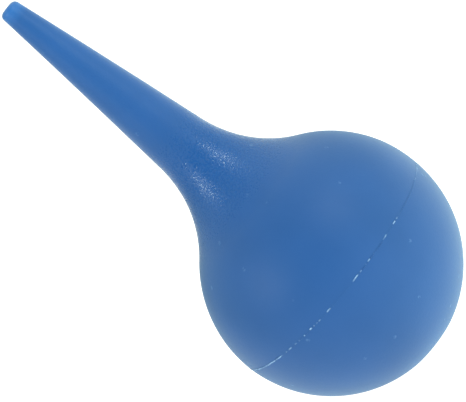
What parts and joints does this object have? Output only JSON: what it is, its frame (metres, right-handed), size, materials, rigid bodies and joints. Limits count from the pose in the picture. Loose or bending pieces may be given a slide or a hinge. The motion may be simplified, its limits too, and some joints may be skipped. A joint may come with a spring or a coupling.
{
  "type": "nasal aspirator",
  "caption": "Rubber bulb aspirator: a hollow squeeze ball in two bonded halves, with a flat base and a long hollow nozzle that tapers to a small round orifice.",
  "frame": {"origin": "centre of the flat base, on the surface that the aspirator stands on", "axes": "+Z along the axis of the bulb and nozzle, from the base to the tip; the part is turned about Z, so X and Y are alike"},
  "size_m": [0.0544, 0.0544, 0.1092],
  "materials": {
    "bulb_rubber": "matte satin, moulded, smooth with a faint powdery grain",
    "nozzle_rubber": "matte satin, moulded, smooth with a faint powdery grain",
    "bond_rubber": "matte, slightly paler than the moulded halves"
  },
  "bodies": {
    "base": {"base_half": "bulb_rubber"},
    "top": {"nozzle_half": "nozzle_rubber", "seam_bond": "bond_rubber"}
  },
  "joints": [
    {"name": "bulb_squeeze", "type": "slide", "parent": "base", "child": "top", "axis": [0, 0, -1], "range_m": [0, 0.018], "stiffness_N_per_m": 900, "deforming": ["base_half"]}
  ]
}
